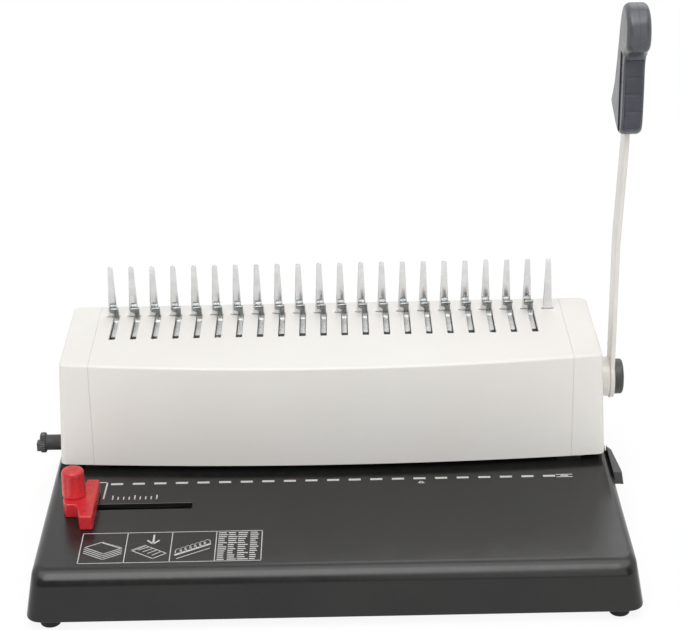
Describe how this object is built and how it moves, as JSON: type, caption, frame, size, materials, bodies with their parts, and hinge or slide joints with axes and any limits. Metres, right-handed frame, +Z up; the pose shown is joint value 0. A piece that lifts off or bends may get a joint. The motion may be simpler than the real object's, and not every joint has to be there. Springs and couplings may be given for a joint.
{
  "type": "comb binding machine",
  "caption": "Desk-top comb binding machine: an upright side lever presses a row of punches and draws a row of hooks that open a plastic comb held on upright tines.",
  "frame": {"origin": "on the floor under the middle of the machine's overall box", "axes": "+X to the machine's right, where the lever stands; +Y to its back; +Z up"},
  "size_m": [0.4031, 0.238, 0.345],
  "materials": {
    "charcoal": "fine moulded grain",
    "tray_black": "fine moulded grain",
    "knob_black": "satin",
    "rubber": "matt",
    "off_white": "satin moulded",
    "zinc_steel": "zinc plated",
    "tool_steel": "ground",
    "dark_steel": "blackened",
    "screw_steel": "bright",
    "chrome": "polished",
    "bronze": "turned",
    "arm_paint": "satin enamel",
    "grip_grey": "satin",
    "grip_rubber": "matt",
    "red": "moulded",
    "cam_plastic": "moulded"
  },
  "bodies": {
    "base": {"base_shell": "charcoal", "bottom_plate": "zinc_steel", "rubber_feet": "rubber", "foot_screws": "screw_steel", "bottom_screws": "screw_steel", "left_frame": "zinc_steel", "right_frame": "zinc_steel", "frame_screws": "screw_steel", "tie_rods": "zinc_steel", "tie_screws": "screw_steel", "die_plate": "tool_steel", "throat_spacers": "tool_steel", "guide_plate": "tool_steel", "die_bolts": "dark_steel", "guide_posts": "zinc_steel", "ram_springs": "screw_steel", "shaft_bushes": "bronze", "left_rail": "knob_black", "right_rail": "knob_black", "tine_bar": "zinc_steel", "comb_tines": "chrome", "top_cover": "off_white", "left_cap": "off_white", "right_cap": "off_white", "cap_screws": "dark_steel", "rear_panel": "off_white", "rear_screws": "dark_steel", "cover_screws": "dark_steel"},
    "lever": {"main_shaft": "zinc_steel", "shaft_clips": "dark_steel", "left_pinion": "tool_steel", "right_pinion": "tool_steel", "left_sector": "tool_steel", "right_sector": "tool_steel", "lever_arm": "arm_paint", "lever_hub": "arm_paint", "pivot_screw": "dark_steel", "pivot_cap": "knob_black", "grip_left": "grip_grey", "grip_right": "grip_grey", "grip_inlay": "grip_rubber", "grip_screws": "dark_steel"},
    "ram": {"ram_bar": "tool_steel", "punches": "tool_steel", "left_rack": "tool_steel", "right_rack": "tool_steel", "rack_screws": "dark_steel"},
    "sled": {"hook_sled": "zinc_steel", "sled_racks": "tool_steel", "comb_hooks": "dark_steel"},
    "tray": {"chip_tray": "tray_black"},
    "guide": {"edge_guide": "red", "guide_nut": "zinc_steel"},
    "clamp": {"guide_knob": "red", "guide_stud": "zinc_steel"},
    "depth": {"depth_shaft": "zinc_steel", "depth_cams": "cam_plastic", "depth_knob": "knob_black"}
  },
  "joints": [
    {"name": "lever_swing", "type": "hinge", "parent": "base", "child": "lever", "pos_m": [0.19, 0.06393, 0.0782], "axis": [1, 0, 0], "range_deg": [0, 80]},
    {"name": "ram_slide", "type": "slide", "parent": "base", "child": "ram", "axis": [0, 0, -1], "range_m": [0, 0.0112], "stiffness_N_per_m": 2000, "springref_m": -0.012, "deforming": ["ram_springs"]},
    {"name": "hook_slide", "type": "slide", "parent": "base", "child": "sled", "axis": [0, -1, 0], "range_m": [0, 0.0308]},
    {"name": "tray_slide", "type": "slide", "parent": "base", "child": "tray", "axis": [1, 0, 0], "range_m": [0, 0.3]},
    {"name": "guide_slide", "type": "slide", "parent": "base", "child": "guide", "axis": [1, 0, 0], "range_m": [0, 0.066]},
    {"name": "clamp_turn", "type": "hinge", "parent": "guide", "child": "clamp", "pos_m": [-0.16698, -0.031, 0.05], "axis": [0, 0, 1], "range_deg": [0, 180]},
    {"name": "depth_turn", "type": "hinge", "parent": "base", "child": "depth", "pos_m": [-0.19, 0.04893, 0.0436], "axis": [1, 0, 0], "range_deg": [0, 180]}
  ],
  "couplings": [
    {"joint": "ram_slide", "follows": "lever_swing", "m_per_rad": 0.008},
    {"joint": "hook_slide", "follows": "lever_swing", "m_per_rad": 0.022}
  ]
}
